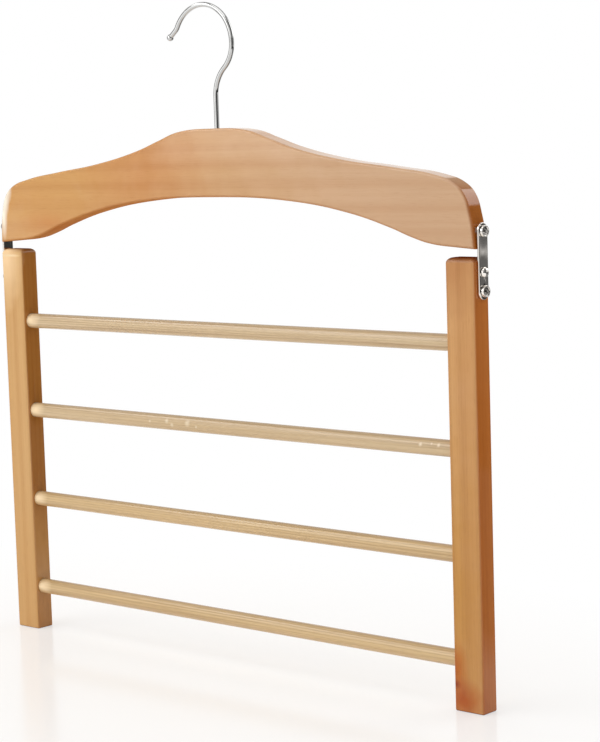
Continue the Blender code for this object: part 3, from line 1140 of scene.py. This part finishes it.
def makeScrew(side, kind, size):
    node = f"{side}_{kind}_screw"
    sign = sideSign[side]
    low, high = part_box(node)
    outer = high.x if sign > 0 else low.x
    headHeight = size["domeHeight"] if kind == "domed" else size["headHeight"]
    place = Vector((outer - sign * headHeight, 0, (low.z + high.z) / 2))
    shape = bmesh.new()
    points = [shape.verts.new((radius, 0, height)) for radius, height in screwSection(kind, size)]
    edges = [shape.edges.new(pair) for pair in zip(points, points[1:])]
    bmesh.ops.spin(
        shape,
        geom=points + edges,
        cent=(0, 0, 0),
        axis=(0, 0, 1),
        dvec=(0, 0, 0),
        angle=math.tau,
        steps=size["turnSteps"],
        use_merge=True,
        use_duplicate=False,
    )
    alongX(shape, sign)
    shiftAll(shape, place)
    name = side + kind.capitalize() + "Screw"
    screw = pieceFromMesh(name, meshFromShape(name, shape, size["sharpestAngle"]))
    cutters = [] if kind == "domed" else crossCutters(size, place, sign)
    finishMesh(screw, cutters, flatFaces=False)
    material = fittings
    # the dished heads get a metal with painted shade in the recess
    if kind != "domed":
        material = chromeMaterial(name + "Metal", fittingsLook, (outer, 0, place.z))
    settle(screw, "yoke" if kind == "pivot" else "ladder", node, material)


for side in sideSign:
    for kind in ("pivot", "domed", "lower"):
        makeScrew(side, kind, screwShape)
print("stage 6: link plates and screws made")


# Camera: placed as the photograph was taken, from the right and a little above

cameraPlace = {
    "azimuth": 41.435,
    "elevation": 6.423,
    "roll": -1.769,
    "distance": 1.2211,
    "aimFromStem": 59.21 * mm,
    "aimAboveFloor": 181.68 * mm,
    "lens": 102.50,
    "sensor": 36,
    "clip": (0.05, 50),
}


def outwards(azimuth, elevation):
    # a direction away from the object: degrees from the front towards +X, and degrees up
    across, up = math.radians(azimuth), math.radians(elevation)
    return Vector((math.sin(across) * math.cos(up), -math.cos(across) * math.cos(up), math.sin(up)))


def makeCamera(place):
    back = outwards(place["azimuth"], place["elevation"])
    aim = Vector((stemX + place["aimFromStem"], 0, floorZ + place["aimAboveFloor"]))
    data = bpy.data.cameras.new("photoCamera")
    data.lens = place["lens"]
    data.sensor_width = place["sensor"]
    data.clip_start, data.clip_end = place["clip"]
    camera = bpy.data.objects.new("photoCamera", data)
    bpy.context.scene.collection.objects.link(camera)
    level = back.to_track_quat("Z", "Y")
    roll = Matrix.Rotation(math.radians(place["roll"]), 3, "Z").to_quaternion()
    camera.rotation_mode = "QUATERNION"
    camera.rotation_quaternion = level @ roll
    camera.location = aim + back * place["distance"]
    bpy.context.scene.camera = camera


makeCamera(cameraPlace)


# Studio: a pale floor that fades to white, soft lamps, and cards for gloss and metal to reflect

studio = {
    "floorSize": 12,
    "floorGap": 0.05 * mm,
    "floorColour": srgb(252, 248, 243),
    "floorRoughness": 0.16,
    "fadeStretch": (0.6, 1, 0),
    "fadeShift": (0, 0.06, 0),
    "fadeStart": 0.06,
    "fadeEnd": 0.34,
    "leastFade": 0.35,
    "worldLevel": 0.55,
    "roomLevel": 0.50,
    "backdropSide": (0.087, 0.996, 0),
    "roomEdge": (0.42, 0.64),
}

# lamps: azimuth from the front towards +X, elevation, distance, width, height, power, seen in gloss
lamps = {
    "keyLamp": (-30, 22, 1.5, 1.1, 1.0, 7.2, True),
    "stripLamp": (-63, 42, 1.5, 0.9, 0.28, 2.6, True),
    "topLamp": (10, 75, 1.3, 1.0, 1.0, 3.5, True),
    "leftLamp": (-114, 8, 1.5, 1.0, 1.1, 8, False),
    "rimLamp": (156, 33, 1.6, 0.95, 0.88, 4.2, True),
    "sideLamp": (96, 25, 1.4, 0.8, 0.8, 0.9, False),
}

# cards: azimuth, elevation and distance, or a spot just over the floor, then size, brightness,
# the share that a soft edge takes, and whether diffuse light meets the card as gloss does
cardRise = 1.0 * mm
cards = {
    "rightCard": ((86, 30, 1.15), (0.90, 2.2), 0.12, 0.08, False),
    "lowCard": ((122, -12, 0.95), (1.7, 0.46), 0.03, 0.05, True),
    "endCard": ((140, 7, 1.2), (0.42, 0.54), 0.03, 0.08, False),
    "plateCard": ((133.8, 0.15, 0.9), (0.14, 0.064), 0.12, 0.10, False),
    "gapCard": ((133.8, 0.64, 0.89), (0.14, 0.012), 0.50, 0.45, False),
    "floorCard": ((0.60, 0.62), (1.30, 1.12), 0.22, 0.08, False),
    "eyeCard": ((52, 0, 1.45), (1.05, 1.1), 0.05, 0.12, False),
    "leftCard": ((-87, 0, 1.1), (1.30, 1.5), 0.42, 0.10, False),
    "backCard": ((186, 38, 1.5), (0.95, 0.8), 0.12, 0.10, False),
    "sheenCard": ((-32, 4, 1.5), (1.10, 0.9), 0.60, 0.12, False),
    "wireCard": ((-36, 25.8, 0.333), (0.18, 0.11), 1.8, 0.12, False),
    "streakCard": ((16, 8, 1.5), (0.50, 1.6), 1.5, 0.20, False),
}


def studioPlace(azimuth, elevation, distance):
    away = outwards(azimuth, elevation)
    return aimPoint + away * distance, away


def addSeenMask(tree):
    # rays that look at the surroundings, straight or by way of gloss or glass
    rays = addNode(tree, "ShaderNodeLightPath")
    seen = addMath(tree, "MAXIMUM", rays.outputs["Is Camera Ray"], rays.outputs["Is Glossy Ray"])
    seen = addMath(tree, "MAXIMUM", seen, rays.outputs["Is Transmission Ray"])
    return seen, rays.outputs["Is Camera Ray"]


def showBlend(tree, mask, first, second):
    # the surface shows the first shader, and the second one where the mask is 1
    blended = addNode(tree, "ShaderNodeMixShader")
    for socket, value in zip(blended.inputs, (mask, first.outputs[0], second.outputs[0])):
        feed(tree, socket, value)
    output = next(node for node in tree.nodes if node.type.startswith("OUTPUT"))
    feed(tree, output.inputs["Surface"], blended.outputs[0])


def makeFloor(look):
    shape = bmesh.new()
    bmesh.ops.create_grid(shape, x_segments=1, y_segments=1, size=look["floorSize"] / 2)
    shiftAll(shape, (stemX, 0, floorZ - look["floorGap"]))
    floor = pieceFromMesh("floor", meshFromShape("floor", shape))
    material, tree, shader = newMaterial("floorPaint")
    shader.inputs["Base Color"].default_value = look["floorColour"]
    shader.inputs["Roughness"].default_value = look["floorRoughness"]
    stretch, shift = look["fadeStretch"], look["fadeShift"]
    flat = addVectorMath(tree, "MULTIPLY_ADD", ownPlace(tree), stretch, shift)
    away = addVectorMath(tree, "LENGTH", flat)
    fade = addRange(tree, away, look["fadeStart"], look["fadeEnd"], look["leastFade"])
    mask = addMath(tree, "MULTIPLY", fade, addSeenMask(tree)[0])
    showBlend(tree, mask, shader, addNode(tree, "ShaderNodeEmission"))
    floor.data.materials.append(material)


def makeCard(name, place, size, brightness, softEdge, meetsDiffuse):
    # clear towards its edges and from behind; its front looks at the object, or up from the floor
    shape = bmesh.new()
    shape.loops.layers.uv.new("UVMap")
    bmesh.ops.create_grid(shape, x_segments=1, y_segments=1, size=0.5, calc_uvs=True)
    bmesh.ops.scale(shape, vec=(*size, 1), verts=shape.verts)
    if len(place) == 2:
        shiftAll(shape, (*place, floorZ + cardRise))
    else:
        middle, away = studioPlace(*place)
        turnAll(shape, (-away).to_track_quat("Z", "Y").to_matrix())
        shiftAll(shape, middle)
    mesh = bpy.data.meshes.new(name)
    shape.to_mesh(mesh)
    shape.free()
    card = pieceFromMesh(name, mesh)
    material, tree, shader = newMaterial(name + "Paint")
    tree.nodes.remove(shader)
    split = addNode(tree, "ShaderNodeSeparateXYZ")
    feed(tree, split.inputs[0], addNode(tree, "ShaderNodeTexCoord").outputs["UV"])
    geometry = addNode(tree, "ShaderNodeNewGeometry")
    mask = addMath(tree, "SUBTRACT", 1, geometry.outputs["Backfacing"])
    for axis in ("X", "Y"):
        other = addMath(tree, "SUBTRACT", 1, split.outputs[axis])
        inwards = addMath(tree, "MINIMUM", split.outputs[axis], other)
        mask = addMath(tree, "MULTIPLY", mask, addRange(tree, inwards, 0, softEdge))
    glow = addNode(tree, "ShaderNodeEmission")
    glow.inputs["Strength"].default_value = brightness
    showBlend(tree, mask, addNode(tree, "ShaderNodeBsdfTransparent"), glow)
    card.data.materials.append(material)
    card.visible_camera = False
    card.visible_shadow = False
    card.visible_diffuse = meetsDiffuse


def makeLamp(name, azimuth, elevation, distance, width, height, power, inGloss):
    place, away = studioPlace(azimuth, elevation, distance)
    data = bpy.data.lights.new(name, "AREA")
    data.shape = "RECTANGLE"
    data.size, data.size_y = width, height
    data.energy = power
    lamp = bpy.data.objects.new(name, data)
    bpy.context.scene.collection.objects.link(lamp)
    lamp.location = place
    lamp.rotation_euler = away.to_track_quat("Z", "Y").to_euler()
    lamp.visible_glossy = inGloss


def makeWorld(look):
    world = bpy.data.worlds.new("studioWorld")
    bpy.context.scene.world = world
    world.use_nodes = True
    tree = world.node_tree
    soft = tree.nodes["Background"]
    plain = addNode(tree, "ShaderNodeBackground")
    for shader in (soft, plain):
        shader.inputs["Color"].default_value = (1, 1, 1, 1)
    soft.inputs["Strength"].default_value = look["worldLevel"]
    seen, direct = addSeenMask(tree)
    outward = addNode(tree, "ShaderNodeTexCoord").outputs["Generated"]
    towards = addVectorMath(tree, "DOT_PRODUCT", outward, look["backdropSide"])
    room = addRange(tree, towards, *look["roomEdge"], look["roomLevel"])
    feed(tree, plain.inputs["Strength"], addMath(tree, "MAXIMUM", room, direct))
    showBlend(tree, seen, soft, plain)


aimPoint = Vector((stemX, 0, (cadLow.z + cadHigh.z) / 2))
makeFloor(studio)
makeWorld(studio)
for name, values in lamps.items():
    makeLamp(name, *values)
for name, values in cards.items():
    makeCard(name, *values)
bpy.context.scene.view_settings.view_transform = "Standard"
print("stage 7: camera and studio made")
